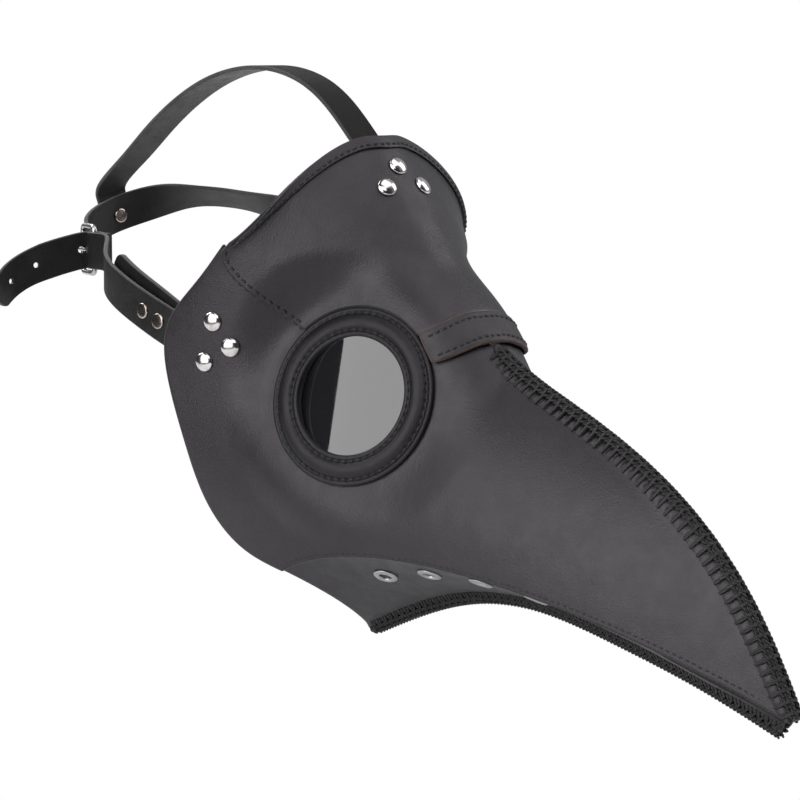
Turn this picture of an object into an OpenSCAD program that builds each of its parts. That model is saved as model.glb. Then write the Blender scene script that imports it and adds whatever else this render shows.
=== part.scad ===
// Plague doctor mask: a beaked face mask of sewn leather panels with a three-strap head harness.
// Row frame: +Z up, the beak points to -Y, the wearer's right side is -X. Units are millimetres.

/* [Leather] */
// Thickness of the shell leather
leather_t = 1.8; // [1.2:0.1:2.6]
// Gap left between two layers that lie on each other
lay_gap = 0.3; // [0.2:0.05:0.4]
// Width of the hem across the nose bridge, as a share of one pattern rib
hem_share = 0.34; // [0.2:0.02:0.5]
// Width of the folded band along the top of the forehead
binding_w = 5.5; // [4:0.5:9]
// Width of the overlock seam bead
bead_w = 5.2; // [3:0.2:8]

/* [Eyes] */
// Outer radius of the padded eye ring
ring_r = 38; // [30:0.5:44]
// Radius of the opening in the eye ring
opening_r = 25; // [18:0.5:32]
// Height of the padded ring at its crest
ring_h = 4.6; // [3:0.2:10]
// Sideways turn of the eye ring away from straight ahead
ring_turn = 71; // [40:1:85]
// Upward tilt of the eye ring
ring_tilt = 16; // [0:1:30]
// Lens thickness
lens_t = 1.2; // [0.8:0.1:3]

/* [Hardware] */
// Radius of the domed rivets
dome_r = 4.3; // [3:0.1:6]
// Height of the domed rivets
dome_h = 2.3; // [1:0.1:4]
// Radius of the flat strap rivets
cap_r = 3.6; // [2.5:0.1:5]
// Thickness of the flat rivet caps
cap_h = 0.9; // [0.5:0.1:2]
// Radius of a rivet shank
shank_r = 1.4; // [1:0.1:2]
// Outer radius of the eyelets
eyelet_r = 5.4; // [4:0.1:8]
// Radius of the hole through an eyelet
eyelet_hole_r = 2.6; // [1.5:0.1:4]
// Wire radius of the buckle
wire_r = 1.25; // [1:0.05:1.8]

/* [Harness] */
// Strap width
strap_w = 17; // [12:0.5:25]
// Strap thickness
strap_t = 1.9; // [1.4:0.1:3]
// Thickness of the two anchor tabs
tab_t = 2.2; // [1.4:0.1:3]
// Buckle length from heel bar to front bar
buckle_l = 14; // [10:0.5:20]
// How far the left strap leans in, round the back of the head, in degrees
back_lean = 58; // [0:2:64]
// Side play of the strap in the buckle
buckle_play = 1.0; // [0.5:0.1:2]

/* [Hidden] */
$fn = 48;

// Pattern ribs from the rear edge to the front profile: rear point, two handles, front point.
RIBS = [
    [[-66, 20, 47], [-59, -2, 63], [-22, 4, 91.5], [0, -3.5, 89]],
    [[-67, 36, 29], [-65, 7, 40], [-34, -27, 57], [0, -26, 58.5]],
    [[-71, 56, 12], [-66, 2, 16], [-16, -47, 26], [0, -50, 27]],
    [[-70, 54, -12], [-55, 10, -14], [-34, -64, -9], [0, -82.5, -4.6]],
    [[-66, 47, -38], [-56, -5, -45], [-38, -90, -38], [0, -126.8, -20.8]],
    [[-60, 41, -66], [-57, -20, -64], [-36, -120, -58], [0, -176.3, -45.5]],
    [[-54, 24, -85], [-53, -38, -68], [-28, -145, -72], [0, -215.6, -81.8]],
    [[-51, 0, -91], [-49, -56, -63], [-21, -160, -91], [0, -239.5, -125.5]]];
last_rib = len(RIBS) - 1;
// Keel line along the middle of the underside, from the throat to the beak tip.
KEEL = [[0, 1, -121.5], [0, -30, -108], [0, -65, -96.8], [0, -105, -94.6], [0, -150, -104.3],
    [0, -195, -114.4], [0, -238, -128.8]];
ring_c = [-38.7, -32.5, -15.7];
ring_n = [-sin(ring_turn) * cos(ring_tilt), -cos(ring_turn) * cos(ring_tilt), sin(ring_tilt)];
flat_fade = 26;
seam_slope = 5.25;
bridge_rib = 2.5;
panel_s = 26;
panel_t = 28;
brow_t = 10;
under_s = 24;
under_v = 5;
// Distance from the middle plane to the cut edge of a panel at the two overlock seams.
edge_x = 1.1;
lens_r = opening_r + 4.5;

// Uniform cubic B-spline through reflected ends, t in control-point units.
function wrap_at(p, i) =
    i < 0 ? 2 * p[0] - p[1] : i >= len(p) ? 2 * p[len(p) - 1] - p[len(p) - 2] : p[i];
function spline_span(p, i, f) =
    (pow(1 - f, 3) * wrap_at(p, i - 1)
    + (3 * pow(f, 3) - 6 * f * f + 4) * wrap_at(p, i)
    + (-3 * pow(f, 3) + 3 * f * f + 3 * f + 1) * wrap_at(p, i + 1)
    + pow(f, 3) * wrap_at(p, i + 2)) / 6;
function spline(p, t) =
    let (c = min(max(t, 0), len(p) - 1.000001), i = floor(c)) spline_span(p, i, c - i);
function smooth(a, b, x) = let (k = min(max((x - a) / (b - a), 0), 1)) k * k * (3 - 2 * k);
function unit(v) = v / norm(v);
function column(k) = [for (r = RIBS) r[k]];
REAR = column(0);
REAR_HANDLE = column(1);
FRONT_HANDLE = column(2);
FRONT = column(3);

// Raw shell surface of the right half: t runs down the ribs, s from the rear edge to the front.
function rib_point(t, s) =
    pow(1 - s, 3) * spline(REAR, t) + 3 * s * pow(1 - s, 2) * spline(REAR_HANDLE, t)
    + 3 * s * s * (1 - s) * spline(FRONT_HANDLE, t) + pow(s, 3) * spline(FRONT, t);
function off_plane(p) = (p - ring_c) * ring_n;
function eye_radius(p) = norm(p - ring_c - off_plane(p) * ring_n);
// The leather is pulled flat under the eye ring.
function surf(t, s) =
    let (p = rib_point(t, s), w = 1 - smooth(ring_r + 2, ring_r + flat_fade, eye_radius(p)))
    p - ring_n * off_plane(p) * w;
step = 0.01;
function slope_s(t, s) = surf(t, min(s + step, 1)) - surf(t, max(s - step, 0));
function slope_t(t, s) = surf(min(t + step, last_rib), s) - surf(max(t - step, 0), s);
function normal_at(t, s) = unit(cross(slope_t(t, s), slope_s(t, s)));
function lift(t, s, d) = surf(t, s) + normal_at(t, s) * d;
// The lower edge of the forehead panel, as a rib number.
function seam_t(s) = min(seam_slope * s, bridge_rib - 0.15 * smooth(0.8, 1, s));
function trim(s, lo, hi, k) =
    let (mid = (lo + hi) / 2)
    k == 0 ? lo
    : eye_radius(lift(mid, s, leather_t)) > ring_r + 0.6 ? trim(s, mid, hi, k - 1)
    : trim(s, lo, mid, k - 1);
// The same edge, cut round the outside of the eye ring.
function brow_t_at(s) =
    eye_radius(lift(seam_t(s), s, leather_t)) > ring_r + 0.6 ? seam_t(s)
    : trim(s, 0.8, seam_t(s), 12);

// The forehead is rounded over the middle plane.
round_x = 7;
function brow(t, s) =
    let (p = surf(t, s), q = surf(t, 1))
    let (k = (1 - exp(-pow(p.x / round_x, 2))))
    let (w = 1 - smooth(2.2, 2.6, t), m = 1 - w + w * k)
    [p.x, q.y + (p.y - q.y) * m, q.z + (p.z - q.z) * m];
function brow_ds(t, s) = brow(t, min(s + step, 1)) - brow(t, max(s - step, 0));
function brow_dt(t, s) = brow(min(t + step, last_rib), s) - brow(max(t - step, 0), s);
function brow_normal(t, s) =
    let (n = cross(brow_dt(t, s), brow_ds(t, s)))
    unit(s > 0.999 ? [0, n.y, n.z] : n);
function brow_lift(t, s, d) = brow(t, s) + brow_normal(t, s) * d;

// Closed shell between two equal grids of (n + 1) by (m + 1) points.
function cell(a, b, c, d, o) =
    [[a, b, c], [a, c, d], [a + o, c + o, b + o], [a + o, d + o, c + o]];
function wall(a, b, o) = [[b, a, a + o], [b, a + o, b + o]];
function shell_faces(n, m) =
    let (w = m + 1, o = (n + 1) * w)
    [for (j = [0:m - 1]) for (f = wall(j + 1, j, o)) f,
    for (j = [0:m - 1]) for (f = wall(n * w + j, n * w + j + 1, o)) f,
    for (i = [0:n - 1]) for (f = wall(i * w, (i + 1) * w, o)) f,
    for (i = [0:n - 1]) for (f = wall((i + 1) * w + m, i * w + m, o)) f,
    for (i = [0:n - 1]) for (j = [0:m - 1])
        for (f = cell(i * w + j, (i + 1) * w + j, (i + 1) * w + j + 1, i * w + j + 1, o)) f];
function turned(f) = [f[0], f[2], f[1]];
module shell(outer, inner, n, m) {
    polyhedron(concat(outer, inner), [for (f = shell_faces(n, m)) turned(f)]);
}
function mirrored(p) = [-p.x, p.y, p.z];

// Places children with their z axis along n at point p.
module stand(p, n) {
    side = abs(n.z) > 0.9 ? [1, 0, 0] : [0, 0, 1];
    x = unit(cross(side, n));
    y = cross(n, x);
    multmatrix([[x.x, y.x, n.x, p.x], [x.y, y.y, n.y, p.y], [x.z, y.z, n.z, p.z]]) children();
}

// Leather panels
function panel_top(s) = max(seam_t(s) - 0.3 * smooth(0.02, 0.2, s), 0.02);
function panel_rib(s, k) = panel_top(s) + (last_rib - panel_top(s)) * k;
seam_allow = 6;
function keep_off(p) =
    [p.x < -seam_allow ? p.x : min(p.x, 0) * (1 - edge_x / seam_allow) - edge_x, p.y, p.z];
function panel_grid(d) =
    [for (i = [0:panel_s]) for (j = [0:panel_t])
        let (s = i / panel_s, t = panel_rib(s, j / panel_t)) keep_off(lift(t, s, d))];
module side_panel() {
    difference() {
        shell(panel_grid(leather_t), panel_grid(0), panel_s, panel_t);
        stand(ring_c - ring_n * 4, ring_n) cylinder(r = opening_r + 1.5, h = 10);
    }
}
module side_panel_right() color([0.09, 0.09, 0.1]) side_panel();
module side_panel_left() color([0.09, 0.09, 0.1]) mirror([1, 0, 0]) side_panel();

brow_in = leather_t + lay_gap;
brow_out = 2 * leather_t + lay_gap;
brow_s = panel_s - 1;
// The last row of the forehead is the margin that lies on the side panel.
function brow_rib(s, j) =
    let (low = brow_t_at(s), margin = min(low - 0.01, low - panel_top(s)))
    let (inner = low > 0.5 ? low - max(margin, 0.1) : low * 0.6)
    j == brow_t ? low : inner * j / (brow_t - 1);
function brow_half(d) =
    [for (i = [0:brow_s]) for (j = [0:brow_t])
        let (s = (i + 1) / panel_s) brow_lift(brow_rib(s, j), s, d)];
function brow_row(g, i, w) = [for (j = [0:w - 1]) g[i * w + j]];
function both_halves(g, n, w) =
    concat(g, [for (i = [n - 1:-1:0]) for (p = brow_row(g, i, w)) mirrored(p)]);
module forehead_panel() {
    outer = both_halves(brow_half(brow_out), brow_s, brow_t + 1);
    inner = both_halves(brow_half(brow_in), brow_s, brow_t + 1);
    color([0.1, 0.1, 0.11]) shell(outer, inner, 2 * brow_s, brow_t);
}

hem_first = 0.8;
hem_s = 5;
hem_v = 3;
hem_in = leather_t + lay_gap + 0.6;
hem_out = hem_in + leather_t + 0.2;
function hem_grid(d) =
    [for (i = [0:hem_s]) for (j = [0:hem_v])
        let (s = hem_first + (1 - hem_first) * i / hem_s)
        brow_lift(seam_t(s) + 0.015 + hem_share * j / hem_v, s, d)];
module bridge_hem() {
    outer = both_halves(hem_grid(hem_out), hem_s, hem_v + 1);
    inner = both_halves(hem_grid(hem_in), hem_s, hem_v + 1);
    color([0.08, 0.08, 0.09]) shell(outer, inner, 2 * hem_s, hem_v);
}

binding_s = 16;
binding_first = 0.1;
function binding_share(s) = binding_w / norm(surf(0.5, s) - surf(0, s)) / 2;
function binding_grid(d) =
    [for (i = [0:binding_s]) for (j = [0:2])
        let (s = binding_first + (1 - binding_first) * i / binding_s)
        brow_lift(binding_share(s) * j / 2, s, d)];
module forehead_binding() {
    outer = both_halves(binding_grid(brow_out + lay_gap + 0.8), binding_s, 3);
    inner = both_halves(binding_grid(brow_out + lay_gap), binding_s, 3);
    color([0.07, 0.07, 0.08]) shell(outer, inner, 2 * binding_s, 2);
}

// The underside hangs from inside the lower seam down to the keel.
throat_dip = 9;
function under_top(u) =
    let (k = 1 - smooth(0.62, 0.86, u))
    lift(last_rib - 0.13 * k, u, -(leather_t + 0.5) * k) - [0, 0, 0.5 * (1 - k)];
function under_mid(u, v) =
    let (b = spline(KEEL, u * (len(KEEL) - 1)))
    let (hollow = throat_dip * 4 * v * (1 - v) * pow(1 - u, 2))
    under_top(u) * (1 - v) + b * v - [0, hollow, 0];
function under_du(u, v) = under_mid(min(u + step, 1), v) - under_mid(max(u - step, 0), v);
function under_dv(u, v) = under_mid(u, min(v + step, 1)) - under_mid(u, max(v - step, 0));
function under_normal(u, v) = unit(cross(under_dv(u, v), under_du(u, v)));
function under_lift(u, v, d) = under_mid(u, v) + under_normal(u, v) * d;
under_last = 0.99;
function under_grid(d) =
    [for (i = [0:under_s]) for (j = [0:under_v])
        keep_off(under_lift(under_last * i / under_s, j / under_v, d))];
EYELET_U = [0.198, 0.316, 0.43, 0.54];
EYELET_V = [0.36, 0.34, 0.36, 0.4];
module under_panel() {
    difference() {
        shell(under_grid(leather_t), under_grid(0), under_s, under_v);
        for (k = [0:3])
            stand(under_lift(EYELET_U[k], EYELET_V[k], -4), under_normal(EYELET_U[k], EYELET_V[k]))
                cylinder(r = eyelet_hole_r + 0.9, h = 8);
    }
}
module under_panel_right() color([0.1, 0.1, 0.11]) under_panel();
module under_panel_left() color([0.1, 0.1, 0.11]) mirror([1, 0, 0]) under_panel();

// Overlock beads along the ridge and the keel, drawn as a swept six-sided cord.
function sweep_faces(n, k) =
    [for (i = [0:n - 1]) for (j = [0:k - 1])
        let (a = i * k + j, b = i * k + (j + 1) % k)
        for (f = [[a, b, b + k], [a, b + k, a + k]]) f,
    for (j = [1:k - 2]) [0, j + 1, j],
    for (j = [1:k - 2]) [n * k, n * k + j, n * k + j + 1]];
bead_steps = 40;
function bead_ring(p, out, up_by) =
    [for (c = [[0.8, 0.4], [2.4, 3.0], [1.2, 4.0], [-1.2, 4.0], [-2.4, 3.0], [-0.8, 0.4]])
        p + [c[0] * bead_w / 5.2, 0, 0] + out * (c[1] + up_by)];
ridge_first = 2.86;
function ridge_out(t) =
    let (d = spline(FRONT, min(t + step, last_rib)) - spline(FRONT, t - step))
    unit([0, d.z, -d.y]);
module ridge_seam() {
    pts = [for (i = [0:bead_steps])
        let (t = ridge_first + (last_rib - ridge_first) * i / bead_steps)
        for (q = bead_ring(spline(FRONT, t), ridge_out(t), -0.2)) q];
    color([0.05, 0.05, 0.06]) polyhedron(pts, sweep_faces(bead_steps, 6));
}
function keel_at(u) = spline(KEEL, u * (len(KEEL) - 1));
function keel_out(u) =
    let (d = keel_at(min(u + step, 1)) - keel_at(max(u - step, 0))) unit([0, -d.z, d.y]);
module keel_seam() {
    pts = [for (i = [0:bead_steps])
        let (u = 0.995 * i / bead_steps)
        for (q = bead_ring(keel_at(u), keel_out(u), -0.2)) q];
    color([0.05, 0.05, 0.06]) polyhedron(pts, [for (f = sweep_faces(bead_steps, 6)) turned(f)]);
}

// Eye rings: a padded ring outside, a flat ring inside, and a bent lens between them.
module on_eye(d) stand(ring_c + ring_n * d, ring_n) children();
ring_base = leather_t + lay_gap;
module eye_ring() {
    on_eye(ring_base) rotate_extrude($fn = 72) polygon([
        [opening_r, 0], [ring_r, 0], [ring_r, 1.4], [ring_r - 1.2, 2.0], [ring_r - 3.2, 2.3],
        [ring_r - 5, ring_h * 0.82], [(ring_r + opening_r) / 2, ring_h],
        [opening_r + 4.5, ring_h * 0.84], [opening_r + 3, 2.6], [opening_r + 1.0, 2.4],
        [opening_r, 1.6]]);
}
module eye_ring_right() color([0.08, 0.08, 0.09]) eye_ring();
module eye_ring_left() color([0.08, 0.08, 0.09]) mirror([1, 0, 0]) eye_ring();
backing_t = 1.6;
lens_gap = lens_t + 0.5;
module eye_backing() {
    on_eye(-lens_gap - backing_t) rotate_extrude($fn = 72) polygon([
        [opening_r, 0], [ring_r - 2, 0], [ring_r - 2, backing_t + lens_gap - lay_gap],
        [lens_r + 0.6, backing_t + lens_gap - lay_gap], [lens_r + 0.6, backing_t],
        [opening_r, backing_t]]);
}
module eye_backing_right() color([0.12, 0.12, 0.12]) eye_backing();
module eye_backing_left() color([0.12, 0.12, 0.12]) mirror([1, 0, 0]) eye_backing();
module lens() {
    on_eye(-lens_t - 0.25) cylinder(r = lens_r, h = lens_t, $fn = 72);
}
module lens_right() color([0.2, 0.2, 0.22, 0.7]) lens();
module lens_left() color([0.2, 0.2, 0.22, 0.7]) mirror([1, 0, 0]) lens();

// Eyelets
module eyelet() {
    rotate_extrude() polygon([
        [eyelet_hole_r, -0.9], [eyelet_r - 1, -0.9], [eyelet_r - 1, -0.2],
        [eyelet_hole_r + 0.7, -0.2], [eyelet_hole_r + 0.7, leather_t + 0.2],
        [eyelet_r, leather_t + 0.2], [eyelet_r - 0.6, leather_t + 0.9],
        [eyelet_hole_r + 0.5, leather_t + 1.0], [eyelet_hole_r, leather_t + 0.6]]);
}
module eyelets() {
    for (k = [0:3])
        stand(under_mid(EYELET_U[k], EYELET_V[k]), under_normal(EYELET_U[k], EYELET_V[k])) eyelet();
}
module eyelets_right() color([0.7, 0.7, 0.72]) eyelets();
module eyelets_left() color([0.7, 0.7, 0.72]) mirror([1, 0, 0]) eyelets();

// Rivets: a dome outside, a shank, and a flat cap inside at the given depth.
module dome_rivet(depth) {
    rotate_extrude() polygon([
        [0, -depth - 1], [3.6, -depth - 1], [3.9, -depth], [shank_r, -depth], [shank_r, 0.1],
        [dome_r, 0.1], [dome_r, 0.5], [dome_r * 0.9, dome_h * 0.55], [dome_r * 0.7, dome_h * 0.8],
        [dome_r * 0.4, dome_h * 0.95], [0, dome_h]]);
}
module cap_rivet(depth) {
    rotate_extrude() polygon([
        [0, -depth - cap_h], [cap_r - 0.4, -depth - cap_h], [cap_r, -depth],
        [shank_r, -depth], [shank_r, 0.1], [cap_r, 0.1], [cap_r - 0.3, cap_h],
        [0, cap_h + 0.15]]);
}
strap_in = 0.5;
tab_in = strap_in + strap_t + 0.3;
temple_depth = leather_t + tab_in + tab_t + 0.15;
TEMPLE = [[1.974, 0.163], [2.425, 0.215], [2.665, 0.134]];
module temple_rivets() {
    for (q = TEMPLE)
        stand(lift(q[0], q[1], leather_t), normal_at(q[0], q[1])) dome_rivet(temple_depth);
}
module temple_rivets_right() color([0.8, 0.8, 0.82]) temple_rivets();
module temple_rivets_left() color([0.8, 0.8, 0.82]) mirror([1, 0, 0]) temple_rivets();

brow_rivet_depth = leather_t + 0.3 + strap_t + 0.3;
BROW_RIVETS = [[0.4, 1], [0.66, 0.895]];
module forehead_rivets() color([0.8, 0.8, 0.82]) {
    stand(brow_lift(0.4, 1, brow_out), brow_normal(0.4, 1)) dome_rivet(brow_rivet_depth);
    side_rivet();
    mirror([1, 0, 0]) side_rivet();
}
module side_rivet() {
    stand(brow_lift(0.66, 0.895, brow_out), brow_normal(0.66, 0.895))
        dome_rivet(leather_t + 0.15);
}

// Harness: straps are swept flat bands. A frame on a strap is [centre, along, width, outward].
function strap_dir(path, u) =
    unit(spline(path, min(u + step, len(path) - 1)) - spline(path, max(u - step, 0)));
function strap_frame(path, lay, u) =
    let (a = strap_dir(path, u), g = spline(lay, u * (len(lay) - 1) / (len(path) - 1)))
    let (w = unit(g - (g * a) * a))
    [spline(path, u), a, w, cross(w, a)];
function strap_ring(f, w, t) =
    [for (c = [[-1, -1], [1, -1], [1, 1], [-1, 1]])
        f[0] + f[2] * c[0] * w / 2 + f[3] * c[1] * t / 2];
function strap_points(path, lay, n, t, u0, u1, w0, w1) =
    [for (i = [0:n])
        let (u = u0 + (u1 - u0) * i / n, w = w0 + (w1 - w0) * i / n)
        for (p = strap_ring(strap_frame(path, lay, u), w, t)) p];
module strap(path, lay, n, t, u0, u1) {
    polyhedron(strap_points(path, lay, n, t, u0, u1, strap_w, strap_w), sweep_faces(n, 4));
}
UP = [[0, 0, 1], [0, 0, 1]];

heel = [-38, 150, 37];
buckle_turn = 75;
module at_heel() translate(heel) rotate([0, 0, buckle_turn]) children();
function from_heel(x, y, z) =
    heel + [x * cos(buckle_turn) - y * sin(buckle_turn), x * sin(buckle_turn) + y * cos(buckle_turn), z];

strap_mid = strap_in + strap_t / 2;
tab_mid = tab_in + tab_t / 2;
LOBE = [lift(2.62, 0.26, -strap_mid), lift(2.48, 0.16, -strap_mid), lift(2.3, 0.07, -strap_mid)];
LOBE_TAB = [lift(2.56, 0.26, -tab_mid), lift(2.42, 0.16, -tab_mid), lift(2.22, 0.07, -tab_mid)];
// The right strap runs back from the temple, round the heel bar and forward again inside itself.
RIGHT = concat(LOBE, [[-70, 60, 12], [-70.5, 74, 17.5], [-68.5, 92, 23.5], [-62, 112, 30],
    from_heel(-20, 0, 0), from_heel(-9, 1.2, 0), from_heel(-4, 2.3, 0), from_heel(0, 2.7, 0),
    from_heel(2.6, 1.6, 0), from_heel(3.1, 0, 0), from_heel(2.6, -1.6, 0), from_heel(0, -2.7, 0),
    from_heel(-4, -2.3, 0), from_heel(-9, -1.6, 0), from_heel(-14, -2.2, 0)]);
module strap_right() color([0.07, 0.07, 0.08]) difference() {
    strap(RIGHT, UP, 90, strap_t, 0, len(RIGHT) - 1);
    at_heel() translate([-3.2, -6, -2.2]) cube([10, 12, 4.4]);
}
TAB_PATH = concat(LOBE_TAB, [[-65.8, 60, 16], [-65.5, 74, 22], [-63.5, 90, 28], [-60, 104, 34]]);
module anchor_tab() {
    polyhedron(strap_points(TAB_PATH, UP, 24, tab_t, 0, len(TAB_PATH) - 1, strap_w, strap_w - 2),
        sweep_faces(24, 4));
}
module anchor_tab_right() color([0.08, 0.08, 0.09]) anchor_tab();
module anchor_tab_left() color([0.08, 0.08, 0.09]) mirror([1, 0, 0]) anchor_tab();

LEFT = concat([for (p = LOBE) mirrored(p)], [[70, 60, 13], [71, 74, 22], [73, 95, 35],
    [71, 122, 47], [62, 152, 56], [42, 179, 60], [16, 190, 54], [-8, 189, 47], [-24, 178, 41],
    from_heel(18, -5.6, 0), from_heel(13, -5.0, 0), from_heel(8.4, -3.0, 0),
    from_heel(6.6, 0.4, 0), from_heel(6.2, 4, -0.4), from_heel(6.2, 8, -1.2)]);
// Round the back of the head the left strap leans in at its top edge.
function left_lay(u) =
    let (k = back_lean * smooth(6, 7, u) * (1 - smooth(8, 9, u)))
    [-0.8 * sin(k), -0.6 * sin(k), cos(k)];
LEFT_LAY = [for (h = [0 : 2 * (len(LEFT) - 1)]) left_lay(h / 2)];
module strap_left() color([0.07, 0.07, 0.08]) difference() {
    strap(LEFT, LEFT_LAY, 90, strap_t, 0, len(LEFT) - 1);
    at_heel() hull() for (x = [0.6, 3.9])
        translate([5.2, x, 0]) rotate([0, 90, 0]) cylinder(r = 1.5, h = 6, center = true, $fn = 24);
}
TAIL = [from_heel(6.2, 9.4, -1.5), from_heel(6.4, 16, -3.1), from_heel(6.8, 24, -5.6),
    from_heel(7, 31, -8.4)];
TIP = [from_heel(7, 33.1, -9.4), from_heel(6.4, 38, -12.4), from_heel(4.5, 43, -17),
    from_heel(1.8, 46.5, -22)];
module punch(path, u) {
    f = strap_frame(path, UP, u);
    stand(f[0] - f[3] * 4, f[3]) cylinder(r = 1.3, h = 8, $fn = 24);
}
module strap_tail() color([0.07, 0.07, 0.08]) difference() {
    strap(TAIL, UP, 12, strap_t, 0, len(TAIL) - 1);
    punch(TAIL, 0.9);
    punch(TAIL, 2.3);
}
module strap_tip() color([0.07, 0.07, 0.08]) difference() {
    polyhedron(strap_points(TIP, UP, 12, strap_t, 0, len(TIP) - 1, strap_w, strap_w - 3),
        sweep_faces(12, 4));
    punch(TIP, 1.2);
}

// The top strap starts inside the forehead and ends on the outer face of the left strap.
TOP_LAY = [[-1, 0, 0], [-1, 0, 0], [-1, 0, 0], [-1, 0, 0], [-0.96, 0, -0.26]];
join_u = 9.45;
JOIN = strap_frame(LEFT, LEFT_LAY, join_u);
function on_join(u, d) = JOIN[0] + JOIN[2] * u - JOIN[3] * d;
TOP = concat([surf(0.98, 1), surf(0.75, 1), surf(0.45, 1) + [0, 0.3, 0]],
    [[0, -3.5, 82], [0, 5.5, 90], [0, 18.5, 103], [0, 35, 114.5], [0, 58, 121], [0, 82, 121],
    [0, 107, 115.5], [0, 130, 105], [0, 150, 92.5], [0, 167, 79]]);
module strap_top() color([0.07, 0.07, 0.08])
    strap(concat(TOP, [on_join(14, 3.4), on_join(8, 2.3), on_join(0, 2.3), on_join(-8.4, 2.4)]),
        TOP_LAY, 64, strap_t, 0, len(TOP) + 3);
module top_strap_rivet() color([0.75, 0.75, 0.77])
    stand(on_join(-1, 2.3 + strap_t / 2), -JOIN[3]) cap_rivet(2.3 + strap_t + 0.2);

STRAP_RIVET_U = [3.05, 3.72];
module strap_rivets() {
    for (u = STRAP_RIVET_U) {
        f = strap_frame(RIGHT, UP, u);
        stand(f[0] + f[3] * strap_t / 2, f[3]) cap_rivet(strap_t + tab_t + 2.8);
    }
}
module strap_rivets_right() color([0.75, 0.75, 0.77]) strap_rivets();
module strap_rivets_left() color([0.75, 0.75, 0.77]) mirror([1, 0, 0]) strap_rivets();

// Buckle: a wire frame that swings on its heel bar, and a prong that swings on the same bar.
frame_h = strap_w + 2 * buckle_play + 2 * wire_r;
module rod(len_mm) cylinder(r = wire_r, h = len_mm, center = true, $fn = 32);
module buckle_frame() color([0.75, 0.75, 0.77]) at_heel() {
    rod(frame_h);
    translate([buckle_l, 0, 0]) rod(frame_h);
    for (side = [-1, 1]) {
        translate([buckle_l / 2, 0, side * frame_h / 2]) rotate([0, 90, 0]) rod(buckle_l);
        for (x = [0, buckle_l])
            translate([x, 0, side * frame_h / 2]) sphere(r = wire_r, $fn = 32);
    }
}
sleeve_r = wire_r + 0.08;
prong_t = 0.8;
module buckle_prong() color([0.7, 0.7, 0.72]) at_heel() {
    difference() {
        union() {
            cylinder(r = sleeve_r + 1, h = 3.2, center = true, $fn = 40);
            translate([0, wire_r + 0.15 + prong_t, 0]) rotate([0, 90, 0])
                cylinder(r = prong_t, h = buckle_l + 2, $fn = 24);
        }
        cylinder(r = sleeve_r, h = 5, center = true, $fn = 40);
    }
}

side_panel_right();
side_panel_left();
forehead_panel();
bridge_hem();
forehead_binding();
under_panel_right();
under_panel_left();
ridge_seam();
keel_seam();
eye_ring_right();
eye_ring_left();
eye_backing_right();
eye_backing_left();
lens_right();
lens_left();
eyelets_right();
eyelets_left();
temple_rivets_right();
temple_rivets_left();
forehead_rivets();
strap_rivets_right();
strap_rivets_left();
top_strap_rivet();
anchor_tab_right();
anchor_tab_left();
strap_right();
strap_left();
strap_top();
strap_tail();
strap_tip();
buckle_frame();
buckle_prong();
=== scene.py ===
import math
import bpy
import numpy as np
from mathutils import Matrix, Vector


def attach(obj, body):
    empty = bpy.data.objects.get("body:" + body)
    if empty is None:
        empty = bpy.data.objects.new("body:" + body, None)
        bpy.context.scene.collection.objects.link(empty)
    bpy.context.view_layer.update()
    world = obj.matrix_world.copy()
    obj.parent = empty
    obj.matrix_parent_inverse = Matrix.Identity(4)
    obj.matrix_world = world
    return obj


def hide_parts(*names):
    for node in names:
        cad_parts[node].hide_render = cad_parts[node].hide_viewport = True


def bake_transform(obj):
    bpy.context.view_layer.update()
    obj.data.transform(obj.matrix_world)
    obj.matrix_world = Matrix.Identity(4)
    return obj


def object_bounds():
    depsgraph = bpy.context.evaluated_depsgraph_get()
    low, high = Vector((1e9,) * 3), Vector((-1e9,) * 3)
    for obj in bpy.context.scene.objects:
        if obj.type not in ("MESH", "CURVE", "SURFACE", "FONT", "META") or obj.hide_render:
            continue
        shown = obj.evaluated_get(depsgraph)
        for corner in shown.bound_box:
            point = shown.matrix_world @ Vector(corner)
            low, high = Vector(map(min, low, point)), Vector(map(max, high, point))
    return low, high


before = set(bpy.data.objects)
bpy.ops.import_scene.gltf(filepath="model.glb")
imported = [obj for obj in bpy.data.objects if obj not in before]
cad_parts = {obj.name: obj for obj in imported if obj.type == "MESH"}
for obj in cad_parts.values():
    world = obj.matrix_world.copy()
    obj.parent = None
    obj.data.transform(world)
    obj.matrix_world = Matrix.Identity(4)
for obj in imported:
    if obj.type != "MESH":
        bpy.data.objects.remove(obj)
cad_lo, cad_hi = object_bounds()
MM = 0.001
rng = np.random.default_rng(7)


def placed(name, data):
    """A new object in the scene."""
    new = bpy.data.objects.new(name, data)
    bpy.context.scene.collection.objects.link(new)
    return new


# ---- camera
AZIMUTH, ELEVATION = math.radians(-42.18), math.radians(6.57)
CAMERA_AIM, CAMERA_DISTANCE = Vector((-99.79, -127.44, -3.93)) * MM, 1.15117
LENS_MM, SENSOR_MM = 136.18, 36
level = math.cos(ELEVATION)
back = Vector((math.sin(AZIMUTH) * level, -math.cos(AZIMUTH) * level, math.sin(ELEVATION)))
camera_data = bpy.data.cameras.new("camera")
camera_data.lens, camera_data.sensor_width = LENS_MM, SENSOR_MM
camera = placed("camera", camera_data)
camera.location = CAMERA_AIM + back * CAMERA_DISTANCE
camera.rotation_mode = "QUATERNION"
camera.rotation_quaternion = (-back).to_track_quat("-Z", "Y")
camera_data.clip_start, camera_data.clip_end = 0.02, 60
bpy.context.scene.camera = camera

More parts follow.
